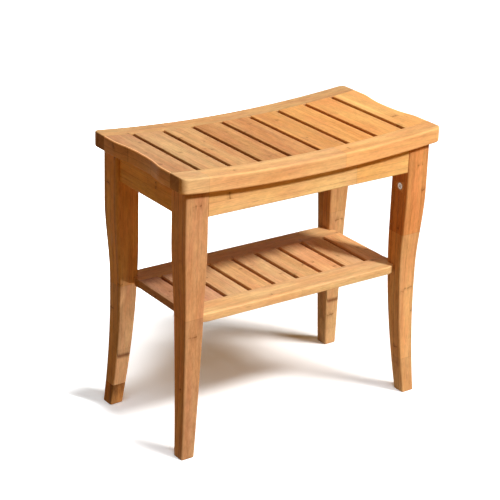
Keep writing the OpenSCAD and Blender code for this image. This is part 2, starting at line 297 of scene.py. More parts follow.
def section(low, high, radii):
    """Points (u, v, wear) round a rectangle, rubbed on its rounded corners. The radii belong to
    the corners (low u, low v), (high u, low v), (high u, high v) and (low u, high v)."""
    corners = ((low[0], low[1]), (high[0], low[1]), (high[0], high[1]), (low[0], high[1]))
    inward = ((1, 1), (-1, 1), (-1, -1), (1, -1))
    support = min(SUPPORT, (high[0] - low[0]) / 4, (high[1] - low[1]) / 4)
    points = []
    for k, ((u, v), (du, dv), radius) in enumerate(zip(corners, inward, radii)):
        start = math.pi * (1 + k / 2)
        sine, cosine = math.sin(start), math.cos(start)
        arc = []
        for i in range(ARC_STEPS + 1):
            angle = start + math.pi / 2 * i / ARC_STEPS
            arc.append((u + radius * (du + math.cos(angle)),
                        v + radius * (dv + math.sin(angle)), RUBBED))
        points.append((arc[0][0] + support * sine, arc[0][1] - support * cosine, 0))
        points.extend(arc)
        points.append((arc[-1][0] - support * cosine, arc[-1][1] - support * sine, 0))
    return points


def shade_slot_sides(loop, *sides):
    """The same points, marked for painted shade on those sides of the board that face a slot."""
    return [(u, v, SHADED_SLOT_SIDE if w == 0 and any(abs(u - side) < NEAR for side in sides) else w)
            for u, v, w in loop]


def joints(name):
    """Places of the glued joints that go right through a board."""
    return [block[0] for block in BLOCKS.get(name, ONE_BLOCK)[:-1]]


def cuts(name):
    """Places right before and after each glued joint of a board."""
    return {place + gap for place in joints(name) for gap in (-JOINT_GAP, JOINT_GAP)}


def stations(half, corner, cap, pitch):
    """Places along a board from -half to half, close together where its ends turn in."""
    straight = half - max(corner, cap, LINE_W)
    steps = max(round(2 * straight / pitch), 2)
    places = {round(straight * (2 * i / steps - 1), 4) for i in range(steps + 1)}
    for radius in {corner, cap} - {0}:
        for i in range(1, 2 * ARC_STEPS + 1):
            reach = half - radius + radius * math.sin(math.pi / 2 * i / (2 * ARC_STEPS))
            places |= {round(reach, 4), round(-reach, 4)}
    return sorted(places)


def ring(place, half, points):
    """One ring of a loft: its points and how much it belongs to the end of the board, which
    gets a painted shade line over the last stretch before it."""
    left = half - abs(place)
    return points, 1.0 if left < NEAR else LINE_DARK * max(1 - left / LINE_W, 0)


def loft(name, rings, grain, strips):
    """Skin over rings of (x, y, z, mark) in millimetres, closed at both ends: the mark says where
    a point is worn, gets painted slot shade and gets a painted highlight. Grain names the axes
    along, across and through the board, and strips counts those across and through it."""
    size = len(rings[0][0])
    points = [point for loop, _ in rings for point in loop]
    faces = [tuple(range(size - 1, -1, -1)), tuple(len(points) - size + i for i in range(size))]
    for k in range(len(rings) - 1):
        for i in range(size):
            j = (i + 1) % size
            faces.append((k * size + i, k * size + j, (k + 1) * size + j, (k + 1) * size + i))
    mesh = bpy.data.meshes.new(name)
    mesh.from_pydata([[c * MM for c in point[:3]] for point in points], [], faces)
    finish = [(end, point[3]) for loop, end in rings for point in loop]
    lay_grain(mesh, name, points, finish, ["xyz".index(axis) for axis in grain], strips)
    mesh.validate()
    piece = bpy.data.objects.new(name, mesh)
    bpy.context.scene.collection.objects.link(piece)
    outward(mesh)
    mesh.shade_smooth()
    mesh.set_sharp_from_angle(angle=math.radians(SHARP_ANGLE))
    shading = piece.modifiers.new("Even shading", "WEIGHTED_NORMAL")
    shading.keep_sharp = True
    shading.weight = FULL_WEIGHT
    return piece


def outward(mesh):
    """Turns all faces of a closed mesh outwards."""
    work = bmesh.new()
    work.from_mesh(mesh)
    bmesh.ops.recalc_face_normals(work, faces=work.faces)
    work.to_mesh(mesh)
    work.free()


# Grain of a board, kept with its points for the materials to read

def store(mesh, name, vectors):
    """Keeps three numbers for each point of a mesh."""
    layer = mesh.attributes.new(name, "FLOAT_VECTOR", "POINT")
    layer.data.foreach_set("vector", [value for vector in vectors for value in vector])


def block_number(place, joined):
    """Counts the blocks along a board: a whole number at each joint, in even steps elsewhere."""
    if place < joined[0]:
        return FIRST_BLOCK + (place - joined[0]) / BLOCK_L
    for k in range(len(joined) - 1):
        if place < joined[k + 1]:
            return FIRST_BLOCK + k + (place - joined[k]) / (joined[k + 1] - joined[k])
    return FIRST_BLOCK + len(joined) - 1 + (place - joined[-1]) / BLOCK_L


def lay_grain(mesh, name, points, finish, axes, strips):
    """Gives each point its place in the wood: along, across and through the grain in metres,
    the same counted in glued strips, and the finish and tint of the board, which carry painted
    shade and highlight marks and the painted side shade of the fade."""
    chance = random.Random(name)
    shift = [chance.uniform(-GRAIN_SHIFT, GRAIN_SHIFT) for _ in range(3)]
    places = [[point[axis] for axis in axes] for point in points]
    low = [min(values) for values in zip(*places)]
    high = [max(values) for values in zip(*places)]
    first = (chance.uniform(0, BLOCK_NUMBERS), chance.randrange(STRIP_NUMBERS),
             chance.randrange(STRIP_NUMBERS))
    drawn = [chance.uniform(-TINT_SWING, TINT_SWING) for _ in range(3)] + [0]
    own = TINTS.get(name, drawn)
    joined = joints(name)
    glued, tints = [], []
    for place in places:
        share = [(place[k] - low[k]) / (high[k] - low[k]) for k in range(3)]
        run = block_number(place[0], joined) if joined else place[0] / BLOCK_L + first[0]
        glued.append([run] + [PLANED_OFF + share[k] * (strips[k - 1] - 2 * PLANED_OFF) + first[k]
                              for k in (1, 2)])
        added = next(values for end, *values in BLOCKS.get(name, ONE_BLOCK) if place[0] <= end)
        tone, warmth, rosy, side_shade = (sum(pair) for pair in zip(own, added))
        # The fade is painted shade across the board's thickness
        tints.append((tone + side_shade * share[2], warmth, rosy))
    stagger = 0 if joined else STAGGER
    store(mesh, "grain", [[place[k] * MM + shift[k] for k in range(3)] for place in places])
    store(mesh, "strips", glued)
    store(mesh, "finish", [(end, worn_and_painted_light, stagger) for end, worn_and_painted_light in finish])
    store(mesh, "tint", tints)


# Boards of the stool

def seat_rail(name, side):
    """Rail along X with rounded outer edges and a rounded outer corner at each end."""
    half, inner = SEAT_L / 2, SEAT_D / 2 - SEAT_RAIL_W
    rings = []
    for x in sorted(cuts(name) | set(stations(half, SEAT_CORNER_R, SEAT_END_R, SEAT_RAIL_PITCH))):
        outer = SEAT_D / 2 - turned_in(abs(x) - half + SEAT_CORNER_R, SEAT_CORNER_R)
        cap = turned_in(abs(x) - half + SEAT_END_R, SEAT_END_R)
        loop = section((inner, -SEAT_T + cap), (outer - cap, -cap),
                       (CRISP_R, SEAT_EDGE_R, SEAT_EDGE_R, CRISP_R))
        points = [(x, side * y, on_seat(x, -v), w) for y, v, w in shade_slot_sides(loop, inner)]
        rings.append(ring(x, half, points))
    return loft(name, rings, "xyz", SEAT_RAIL_STRIPS)


def seat_board(name, near, far, hollow=False):
    """Board across the seat between the rails. Far is its outer side, near the inner one."""
    half = SEAT_D / 2 - SEAT_RAIL_W
    sign = 1 if far > near else -1
    rings = []
    for y in stations(half, 0, CRISP_R, HOLLOW_PITCH if hollow else SLAT_PITCH):
        cap = turned_in(abs(y) - half + CRISP_R, CRISP_R)
        width = abs(far - near) - (scoop(y) if hollow else 0)
        outer_r = SEAT_END_R if hollow else SLAT_EDGE_R
        loop = section((0, -SEAT_T + cap), (width, -cap),
                       (SLAT_EDGE_R, outer_r, outer_r, SLAT_EDGE_R))
        if hollow:
            # The upper outer edge of a hollow end board is marked for a painted highlight
            loop = [(u, v, w * PAINTED_HIGHLIGHT if u > width / 2 and v > -SEAT_T / 2 else w)
                    for u, v, w in shade_slot_sides(loop, 0)]
        else:
            loop = shade_slot_sides(loop, 0, width)
        points = [(near + sign * u, y, on_seat(near + sign * u, -v), w) for u, v, w in loop]
        rings.append(ring(y, half, points))
    return loft(name, rings, "yxz", SEAT_BOARD_STRIPS)


def leg(name, side_x, side_y):
    """Leg that draws in at its waist outside, tapers inside and flares again at the foot."""
    top = underside(LEG_X)
    heights = {FOOT_EDGE_R * (1 - math.cos(math.pi / 2 * i / ARC_STEPS)) for i in range(ARC_STEPS)}
    heights |= {FOOT_EDGE_R + (top - FOOT_EDGE_R) * i / LEG_RINGS for i in range(LEG_RINGS + 1)}
    heights = sorted(cuts(name) | heights)
    rings = []
    for z in heights:
        cap = turned_in(FOOT_EDGE_R - z, FOOT_EDGE_R)
        low, high = leg_taper(z) + cap, LEG_W - leg_waist(z) - cap
        points = []
        for u, v, w in section((low, low), (high, high), (LEG_EDGE_R,) * 4):
            x, y = LEG_X - LEG_W + u, LEG_Y - LEG_W + v
            height = min(z, underside(x)) if z < top else underside(x)
            points.append((side_x * x, side_y * y, height, w))
        rings.append((points, 1.0 if z in (heights[0], heights[-1]) else 0.0))
    return loft(name, rings, "zxy", LEG_STRIPS)


def apron(name, node, along):
    """Apron board under the seat with rounded lower edges. Its top follows the seat."""
    half = span(node, along)[1]
    low, high = span(node, "y" if along == "x" else "x")
    rings = []
    for place in sorted(cuts(name) | set(stations(half, 0, CRISP_R, APRON_PITCH))):
        cap = turned_in(abs(place) - half + CRISP_R, CRISP_R)
        height = underside(place if along == "x" else min(abs(low), abs(high))) - APRON_Z
        loop = section((low + cap, cap), (high - cap, height - cap),
                       (APRON_EDGE_R, APRON_EDGE_R, CRISP_R, CRISP_R))
        points = [((place, u) if along == "x" else (u, place)) + (APRON_Z + v, w)
                  for u, v, w in loop]
        rings.append(ring(place, half, points))
    return loft(name, rings, "xyz" if along == "x" else "yxz", APRON_STRIPS)


def shelf_rail(name, side):
    """Shelf rail along X: it rounds off towards the legs and is notched round them."""
    half, inner = SHELF_L / 2, SHELF_D / 2 - SHELF_RAIL_W
    places = [(x, SHELF_D / 2 - turned_in(abs(x) - NOTCH_X + SHELF_NOSE_L, NOSE_R))
              for x in stations(NOTCH_X, SHELF_NOSE_L, 0, SHELF_RAIL_PITCH)]
    ends = stations(half, SHELF_CORNER_R, CRISP_R, SHELF_END_PITCH)
    for x in [NOTCH_X + STEP] + [x for x in ends if x > NOTCH_X]:
        outer = NOTCH_Y - turned_in(x - half + SHELF_CORNER_R, SHELF_CORNER_R)
        places = [(-x, outer)] + places + [(x, outer)]
    rings = []
    for x, outer in places:
        cap = turned_in(abs(x) - half + CRISP_R, CRISP_R)
        loop = section((inner, cap), (outer - cap, SHELF_T - cap),
                       (CRISP_R, SLAT_EDGE_R, SLAT_EDGE_R, CRISP_R))
        points = [(x, side * y, SHELF_Z - SHELF_T + v, w) for y, v, w in shade_slot_sides(loop, inner)]
        rings.append(ring(x, half, points))
    return loft(name, rings, "xyz", SHELF_STRIPS)


def shelf_board(name, low, high):
    """Flat board across the shelf between the rails."""
    half = SHELF_D / 2 - SHELF_RAIL_W
    slots = [x for x in (low, high) if abs(x) < SHELF_L / 2]
    rings = []
    for y in stations(half, 0, CRISP_R, SLAT_PITCH):
        cap = turned_in(abs(y) - half + CRISP_R, CRISP_R)
        loop = section((low, cap), (high, SHELF_T - cap), (SLAT_EDGE_R,) * 4)
        points = [(x, y, SHELF_Z - SHELF_T + v, w) for x, v, w in shade_slot_sides(loop, *slots)]
        rings.append(ring(y, half, points))
    return loft(name, rings, "yxz", SHELF_STRIPS)


def slats(inner, number, slot_w):
    """Lowest and highest x of each slat in a row between two end boards."""
    width = (2 * inner - (number + 1) * slot_w) / number
    lows = [-inner + slot_w + i * (width + slot_w) for i in range(number)]
    return [(low, low + width) for low in lows]


def bore_for_cam(piece, side_x, side_y):
    """Cuts the round pocket of the cam lock into a leg's inner face."""
    bpy.ops.mesh.primitive_cylinder_add(
        vertices=CAM_SEGMENTS, radius=(CAM_R + FIT_GAP) * MM, depth=2 * CAM_DEPTH * MM,
        location=Vector((side_x * (LEG_X - LEG_W), side_y * CAM_Y, CAM_Z)) * MM,
        rotation=(0, math.pi / 2, 0))
    drill = bpy.context.object
    cut = piece.modifiers.new("Cam pocket", "BOOLEAN")
    cut.object = drill
    cut.operation = "DIFFERENCE"
    cut.solver = "EXACT"
    piece.modifiers.move(len(piece.modifiers) - 1, 0)
    bpy.context.view_layer.update()
    cut_mesh = bpy.data.meshes.new_from_object(
        piece.evaluated_get(bpy.context.evaluated_depsgraph_get()))
    piece.modifiers.clear()
    piece.data = cut_mesh
    bpy.data.objects.remove(drill)


# Node trees

class Shader:
    """Short calls that build the node tree of a material or of the world."""

    def __init__(self, owner):
        owner.use_nodes = True
        self.owner = owner
        self.tree = owner.node_tree
        self.tree.nodes.clear()

    def node(self, kind, inputs=None, **settings):
        """A node of that kind, with what its sockets and settings are given."""
        made = self.tree.nodes.new("ShaderNode" + kind)
        for key, value in settings.items():
            setattr(made, key, value)
        for key, value in (inputs or {}).items():
            self.feed(made.inputs[key], value)
        return made

    def feed(self, socket, value):
        """Joins a socket to another one, or sets its value."""
        if isinstance(value, bpy.types.NodeSocket):
            self.tree.links.new(value, socket)
        else:
            socket.default_value = value

    def attribute(self, name):
        """Three numbers that the points of the mesh keep under that name."""
        return self.node("Attribute", attribute_name=name).outputs["Vector"]

    def split(self, vector):
        """The three numbers of a vector."""
        return self.node("SeparateXYZ", {"Vector": vector}).outputs

    def join(self, x, y, z):
        """The vector of three numbers."""
        return self.node("CombineXYZ", {"X": x, "Y": y, "Z": z}).outputs[0]

    def math(self, operation, *values, clamp=False):
        """What a math node makes of some numbers."""
        return self.node("Math", dict(enumerate(values)), operation=operation,
                         use_clamp=clamp).outputs[0]

    def plus(self, *values):
        """Sum of two or more values."""
        total = values[0]
        for value in values[1:]:
            total = self.math("ADD", total, value)
        return total

    def minus(self, first, second):
        """Difference of two values."""
        return self.math("SUBTRACT", first, second)

    def times(self, *values):
        """Product of two or more values."""
        product = values[0]
        for value in values[1:]:
            product = self.math("MULTIPLY", product, value)
        return product

    def swing(self, value, size):
        """Turns a value from 0 to 1 into one around 0 whose whole range is that size."""
        return self.math("MULTIPLY_ADD", value, size, -size / 2)

    def vector(self, operation, *values):
        """What a math node makes of some vectors."""
        return self.node("VectorMath", dict(enumerate(values)), operation=operation).outputs[0]

    def noise(self, vector, cycles, detail=2.0, roughness=0.5):
        """Noise from 0 to 1 with that many cycles per metre along each axis."""
        scaled = self.vector("MULTIPLY", vector, cycles)
        return self.node("TexNoise", {"Vector": scaled, "Scale": 1.0, "Detail": detail,
                                      "Roughness": roughness}).outputs["Fac"]

    def chance(self, x, y, z):
        """Three random numbers from 0 to 1 that belong to a cell."""
        cell = self.node("TexWhiteNoise", {"Vector": self.join(x, y, z)})
        return self.split(cell.outputs["Color"])

    def ramp(self, value, low, high, to_low=0.0, to_high=1.0):
        """Smooth step between two values."""
        return self.node("MapRange", {"Value": value, "From Min": low, "From Max": high,
                                      "To Min": to_low, "To Max": to_high},
                         interpolation_type="SMOOTHSTEP").outputs[0]

    def window(self, value, rise, fall):
        """1 between a rise and a fall, and 0 outside them."""
        return self.times(self.ramp(value, *rise), self.ramp(value, *fall, 1.0, 0.0))

    def mix(self, share, first, second):
        """Colour between two others. A mix node takes colours in at 6 and 7 and out at 2."""
        made = self.node("Mix", {0: share, 6: first, 7: second}, data_type="RGBA")
        return made.outputs[2]

    def relief(self, height, strength, distance):
        """Normal of a surface with small heights. Distance is the height of 1, in metres."""
        return self.node("Bump", {"Height": height, "Strength": strength,
                                  "Distance": distance}).outputs[0]

    def surface(self, colour, roughness, normal, socket, value):
        """Surface of that colour, roughness and relief, with one more socket set."""
        return self.node("BsdfPrincipled", {"Base Color": colour, "Roughness": roughness,
                                            "Normal": normal, socket: value}).outputs[0]

    def blend(self, share, first, second):
        """Surface between two others."""
        return self.node("MixShader", {0: share, 1: first, 2: second}).outputs[0]

    def mirrored(self):
        """1 for the rays by which metal and glass show what is behind them."""
        path = self.node("LightPath").outputs
        return self.math("MAXIMUM", path["Is Glossy Ray"], path["Is Transmission Ray"])

    def seen(self):
        """1 for the rays that come straight from the camera."""
        return self.node("LightPath").outputs["Is Camera Ray"]

    def finish(self, surface, output="OutputMaterial"):
        """Ends the tree in a surface, and gives back what the tree belongs to."""
        self.tree.links.new(surface, self.node(output).inputs["Surface"])
        return self.owner


# Bamboo colours
STRAW = srgb(243, 198, 140)
HONEY = srgb(232, 176, 120)
FIBRE = srgb(192, 126, 74)
KNUCKLE = srgb(116, 62, 26)
END_GRAIN = srgb(138, 80, 44)
ROSE = srgb(226, 158, 120)
# Painted shade for the sides of the boards that face a slot
SLOT_SHADE_COLOUR = srgb(140, 62, 24)

# Noises of the wood: cycles per metre along, across and through the grain, detail and roughness
NOISES = {
    "fibre": ((9, 620, 620), 3.0, 0.6),
    "streak": ((6, 230, 230), 3.0, 0.62),
    "cloud": ((9, 38, 38), 2.0, 0.5),
    "flush": ((14, 60, 60), 2.0, 0.5),
    "mottle": ((55, 170, 170), 3.0, 0.6),
    "speck": ((150, 430, 430), 2.0, 0.6),
    "dash": ((42, 900, 900), 1.0, 0.5),
    "wave": ((20, 190, 190), 2.0, 0.5),
    "blot": ((60, 110, 110), 2.0, 0.5),
}
FLUSH_SHIFT = (7, 5, 3)

# Parts of a noise: its middle, where dashes and the blots of knuckles begin and are full, and
# what the roughness of the fibres and the rubbed corners follow
MIDDLE = (0.3, 0.7)
DASH = (0.62, 0.74)
KNUCKLE_BLOT = (0.4, 0.62)
ROUGH_FIBRE = (0.3, 0.8)
RUBBED_CLOUD = (0.35, 0.65)

# Numbers that keep the draws for strips, whole blocks and whole layers apart
STRIP_SEED = 3.0
BLOCK_SEED = (5.0, 5.0)
LAYER_SEED = (7.0, 1.0)

# Knuckles: metres from one to the next, how they scatter and wave in shares of that, how far the
# line and its stain reach from the middle, and how soft the choice of strips that show them is
KNUCKLE_PITCH = 0.21
KNUCKLE_SCATTER = 5.0
KNUCKLE_WAVE = 0.03
KNUCKLE_LINE = (0.002, 0.007)
KNUCKLE_STAIN = (0.0, 0.04)
KNUCKLE_CHOICE = 0.02

# Seams: width in shares of a strip, a layer and a block, and how dark the one between blocks is
STRIP_SEAM = 0.035
LAYER_SEAM = 0.05
BLOCK_SEAM = 0.0016
BLOCK_SEAM_DARK = 0.3

# How much a step of tone, warmth and rosiness changes the colour
TONE_STEP = 0.2
WARM_RED, WARM_BLUE = 0.1, -0.2
ROSY_GREEN = -0.1

# How much blocks, mottle and specks differ in tone, how dark the painted shade on a slot's sides
# is, and how much lighter the painted highlight on an edge is
BLOCK_SWING = 0.1
MOTTLE_SWING = 0.4
SPECK_SWING = 0.25
SLOT_SHADE = 0.5
HIGHLIGHT_LIFT = 0.6

# How much of the wood a rubbed corner pales, at least and at most
RUBBED_SHARE = (0.05, 0.3)

# Relief of seams, dashes and knuckles, counted in the height of the fibres
SEAM_RELIEF = -4.0
DASH_RELIEF = -0.5
KNUCKLE_RELIEF = 0.8

# Lacquer: roughness, what end grain adds to it, how much it mirrors, and the strength and height
# of its relief
LACQUER_ROUGH = (0.36, 0.5)
END_ROUGH = 0.15
LACQUER_MIRROR = 0.02
LACQUER_RELIEF = (0.35, 0.00025)

# Looks of the four slots that are bamboo, as arguments of bamboo()
WOODS = {
    "bamboo_rail": {"depth": 0.65, "knots": 0.35, "seams": (0.16, 0.12)},
    "bamboo_slat": {"depth": 0.6},
    "bamboo_leg": {"laminate": 0.1, "stack": 0.22, "knots": 0.45, "seams": (0.12, 0.75)},
    "bamboo_apron": {"laminate": 0.1, "knots": 0.3},
}


def knuckle_lines(s, noises, grain, strip, knots):
    """Thin wavy lines across single strips, and the soft stains round them."""
    metres = s.math("DIVIDE", s.split(grain)[0], KNUCKLE_PITCH)
    place = s.math("FRACT", s.plus(metres, s.times(strip[1], KNUCKLE_SCATTER)))
    wave = s.times(s.minus(noises["wave"], 0.5), KNUCKLE_WAVE)
    offset = s.math("ABSOLUTE", s.minus(s.plus(place, wave), 0.5))
    chosen = s.ramp(strip[2], 1 - knots - KNUCKLE_CHOICE, 1 - knots + KNUCKLE_CHOICE)
    shown = s.times(chosen, s.ramp(noises["blot"], *KNUCKLE_BLOT))
    return [s.times(s.ramp(offset, *reach, 1.0, 0.0), shown)
            for reach in (KNUCKLE_LINE, KNUCKLE_STAIN)]


def seam_lines(s, across, through, run, dark):
    """Lines between strips, between layers and between the blocks of a strip."""
    def line(value, width, strength):
        middle = s.math("ABSOLUTE", s.minus(s.math("FRACT", value), 0.5))
        return s.times(s.ramp(middle, 0.5 - width, 0.5), strength)
    return s.math("MAXIMUM", line(across, STRIP_SEAM, dark[0]),
                  s.math("MAXIMUM", line(through, LAYER_SEAM, dark[1]),
                         line(run, BLOCK_SEAM, BLOCK_SEAM_DARK)))


def wood_noises(s, grain):
    """The noises of the wood by name. Flush is moved, so that it doesn't follow cloud."""
    places = {"flush": s.vector("ADD", grain, FLUSH_SHIFT)}
    return {name: s.noise(places.get(name, grain), *values) for name, values in NOISES.items()}


def wood_level(s, tone, wear_and_painted_light, swings):
    """How light the wood is: its tone, each swinging value with the size of its swing, and the
    painted highlight on the seat ends' upper edge.
    """
    level = s.math("MULTIPLY_ADD", tone, TONE_STEP, 1.0)
    for value, size in swings:
        level = s.plus(level, s.swing(value, size))
    return s.plus(level, s.ramp(wear_and_painted_light, RUBBED, PAINTED_HIGHLIGHT, 0.0, HIGHLIGHT_LIFT))


def tinted(s, colour, level, warmth, rosy):
    """The colour as light as the level says, and as warm and rosy as its board."""
    tint = s.join(s.math("MULTIPLY_ADD", warmth, WARM_RED, 1.0),
                  s.math("MULTIPLY_ADD", rosy, ROSY_GREEN, 1.0),
                  s.math("MULTIPLY_ADD", warmth, WARM_BLUE, 1.0))
    return s.vector("MULTIPLY", colour, s.vector("MULTIPLY", tint, s.join(level, level, level)))


def lacquered(s, colour, fibre, end, height):
    """Satin lacquer over open grain, duller on end grain."""
    rough = s.plus(s.ramp(fibre, *ROUGH_FIBRE, *LACQUER_ROUGH), s.times(end, END_ROUGH))
    return s.surface(colour, rough, s.relief(height, *LACQUER_RELIEF),
                     "Specular IOR Level", LACQUER_MIRROR)


def bamboo(name, depth=0.8, laminate=0.06, stack=0.0, knots=0.6, seams=(0.3, 0.3)):
    """Laminated bamboo: glued strips with their own tones and butt joints, long fibres, dark
    dashes of the vascular bundles, knuckles across single strips, end grain and rubbed edges, with
    painted shade on the sides in slots and before the ends of boards, and a painted highlight on
    the seat ends' upper edge.
    Depth is the strength of the grain, laminate the tone between strips and stack that between
    layers, knots the share of strips that show their knuckles, and seams how dark the lines
    between strips and between layers are."""
    s = Shader(bpy.data.materials.new(name))
    grain = s.attribute("grain")
    end, wear_and_painted_light, stagger = s.split(s.attribute("finish"))
    tone, warmth, rosy = s.split(s.attribute("tint"))
    along, across, through = s.split(s.attribute("strips"))
    noises = wood_noises(s, grain)

    # Strips, layers and blocks, each with random numbers of its own
    row, layer = s.math("FLOOR", across), s.math("FLOOR", through)
    strip = s.chance(row, layer, STRIP_SEED)
    run = s.plus(along, s.times(strip[0], stagger))
    number = s.math("FLOOR", run)
    block = s.chance(number, row, layer)
    whole_block = s.chance(number, *BLOCK_SEED)
    whole_layer = s.chance(layer, *LAYER_SEED)
    line, stain = knuckle_lines(s, noises, grain, strip, knots)
    seam = seam_lines(s, across, through, run, seams)
    dashes = s.ramp(noises["dash"], *DASH)
    # Rubbed corners pale; on the seat ends' upper edge the same, three times as strong, is a
    # painted highlight
    rubbed_and_highlight = s.times(s.math("MAXIMUM", wear_and_painted_light, 0.0),
                     s.ramp(noises["cloud"], *RUBBED_CLOUD, *RUBBED_SHARE))

    # Colours laid over each other: where, how much and which
    colour = s.mix(s.ramp(noises["cloud"], *MIDDLE), STRAW, HONEY)
    for where, strength, over in (
            (s.ramp(noises["flush"], 0.42, 0.66), 0.3, ROSE),
            (s.ramp(noises["streak"], 0.42, 0.74), 0.36 * depth, FIBRE),
            (s.ramp(noises["fibre"], 0.45, 0.75), 0.36 * depth, FIBRE),
            (dashes, 0.34 * depth, KNUCKLE),
            (stain, 0.28, KNUCKLE),
            (line, 0.5, KNUCKLE),
            (seam, 1.0, KNUCKLE),
            # End grain on the end itself, and a painted shade line before it
            (end, 0.75, END_GRAIN),
            (rubbed_and_highlight, 1.0, STRAW),
            # Painted shade on the sides that face a slot
            (s.ramp(wear_and_painted_light, SHADED_SLOT_SIDE, 0.0, 1.0, 0.0), SLOT_SHADE, SLOT_SHADE_COLOUR)):
        colour = s.mix(s.times(where, strength), colour, over)

    level = wood_level(s, tone, wear_and_painted_light, (
        (block[0], BLOCK_SWING), (whole_block[0], BLOCK_SWING), (strip[0], laminate),
        (whole_layer[0], stack), (noises["mottle"], MOTTLE_SWING), (noises["speck"], SPECK_SWING)))
    height = s.plus(noises["fibre"], s.times(seam, SEAM_RELIEF), s.times(dashes, DASH_RELIEF),
                    s.times(line, KNUCKLE_RELIEF))
    colour = tinted(s, colour, level, warmth, rosy)
    return s.finish(lacquered(s, colour, noises["fibre"], end, height))


# Dowels: noise, roughness and relief
DOWEL_FIBRE = ((300, 300, 300), 3.0)
DOWEL_ROUGH = (0.55, 0.7)
DOWEL_RELIEF = (0.3, 0.0003)


def dowel_wood():
    """Plain beech-like wood of the dowels inside the joints."""
    s = Shader(bpy.data.materials.new("dowel_wood"))
    fibre = s.noise(s.node("TexCoord").outputs["Object"], *DOWEL_FIBRE)
    colour = s.mix(s.ramp(fibre, *MIDDLE), HONEY, FIBRE)
    rough = s.ramp(fibre, *MIDDLE, *DOWEL_ROUGH)
    return s.finish(s.surface(colour, rough, s.relief(fibre, *DOWEL_RELIEF), "Metallic", 0.0))


# Zinc: the noises of its cast skin and of its scratches, how high a scratch is beside the skin,
# roughness and relief
ZINC_CAST = ((900, 900, 900), 3.0)
ZINC_SCRATCH = ((200, 4000, 500), 1.0)
SCRATCH_RELIEF = 0.4
ZINC_ROUGH = (0.5, 0.62)
ZINC_RELIEF = (0.2, 0.0002)

# Zinc colours, the painted shade round the rim of a cam lock, and where it begins and ends, as
# distances from its axis
ZINC_LIGHT = srgb(212, 198, 188)
ZINC_DARK = srgb(190, 178, 168)
CAM_RIM_SHADE = srgb(140, 106, 76)
RIM_START = 4.5
RIM_END = 5.6


def zinc():
    """Die-cast zinc with a faint grain, light scratches and painted shade round the rim of each
    cam lock.
    """
    s = Shader(bpy.data.materials.new("zinc"))
    place = s.node("TexCoord").outputs["Object"]
    cast = s.noise(place, *ZINC_CAST)
    scratch = s.noise(place, *ZINC_SCRATCH)
    _, y, z = s.split(place)
    from_y = s.minus(s.math("ABSOLUTE", y), CAM_Y * MM)
    from_z = s.minus(z, CAM_Z * MM)
    from_axis = s.math("SQRT", s.plus(s.times(from_y, from_y), s.times(from_z, from_z)))
    colour = s.mix(s.ramp(cast, *MIDDLE), ZINC_LIGHT, ZINC_DARK)
    colour = s.mix(s.ramp(from_axis, RIM_START * MM, RIM_END * MM), colour, CAM_RIM_SHADE)
    rough = s.ramp(scratch, *MIDDLE, *ZINC_ROUGH)
    height = s.plus(cast, s.times(scratch, SCRATCH_RELIEF))
    return s.finish(s.surface(colour, rough, s.relief(height, *ZINC_RELIEF), "Metallic", 1.0))


# Putting the stool together

DEPTHS = ((-1, "front"), (1, "back"))
WIDTHS = ((-1, "left"), (1, "right"))


def dress(piece, node, slot, woods):
    """The piece takes the place of its CAD node."""
    piece.data.materials.append(woods[slot])
    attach(piece, "root")
    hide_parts(node)


def build_seat(woods):
    """Two curved rails, the end boards with their hollows, and the slats between them."""
    inner = SEAT_L / 2 - SEAT_END_W
    for side, word in DEPTHS:
        node = f"seat_{word}_rail"
        dress(seat_rail(node + "_wood", side), node, "bamboo_rail", woods)
    for side, word in WIDTHS:
        node = f"seat_end_board_{word}"
        board = seat_board(node + "_wood", side * inner, side * SEAT_L / 2, hollow=True)
        dress(board, node, "bamboo_slat", woods)
    for number, (low, high) in enumerate(slats(inner, SEAT_SLATS, SEAT_SLOT_W), 1):
        node = f"seat_slat_{number}"
        dress(seat_board(node + "_wood", low, high), node, "bamboo_slat", woods)


def build_apron(word, along, woods):
    """The apron on one side of the stool."""
    node = f"apron_{word}"
    dress(apron(node + "_wood", node, along), node, "bamboo_apron", woods)


def build_base(woods):
    """Four legs with their cam pockets, and the four aprons between them."""
    for side_y, depth in DEPTHS:
        for side_x, width in WIDTHS:
            node = f"leg_{depth}_{width}"
            piece = leg(node + "_wood", side_x, side_y)
            bore_for_cam(piece, side_x, side_y)
            dress(piece, node, "bamboo_leg", woods)
        build_apron(depth, "x", woods)
    for _, width in WIDTHS:
        build_apron(width, "y", woods)


def build_shelf(woods):
    """Two notched rails, the end boards and the slats between them."""
    inner = SHELF_L / 2 - SHELF_END_W
    for side, word in DEPTHS:
        node = f"shelf_{word}_rail"
        dress(shelf_rail(node + "_wood", side), node, "bamboo_rail", woods)
    for side, word in WIDTHS:
        node = f"shelf_end_board_{word}"
        low, high = sorted((side * inner, side * SHELF_L / 2))
        dress(shelf_board(node + "_wood", low, high), node, "bamboo_slat", woods)
    for number, (low, high) in enumerate(slats(inner, SHELF_SLATS, SHELF_SLOT_W), 1):
        node = f"shelf_slat_{number}"
        dress(shelf_board(node + "_wood", low, high), node, "bamboo_slat", woods)


def finish_fixings():
    """The dowels, studs and cam locks keep their CAD shapes."""
    for material, nodes in ((dowel_wood(), ("apron_dowels", "shelf_dowels")),
                            (zinc(), ("seat_studs", "cam_locks"))):
        for node in nodes:
            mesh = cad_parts[node].data
            mesh.materials.clear()
            mesh.materials.append(material)


# Floor, white paper that keeps the shadows: its size and how far it lies under the feet, both in
# metres, the light that is added to it for the camera, and the grey that is mirrored in metal
WHITE = (1, 1, 1, 1)
PAPER_SIZE = 14
PAPER_DROP = 0.0004
PAPER_LIFT = (0.13, 0.1, 0.08, 1)
GREY_PAPER = srgb(240, 240, 240)

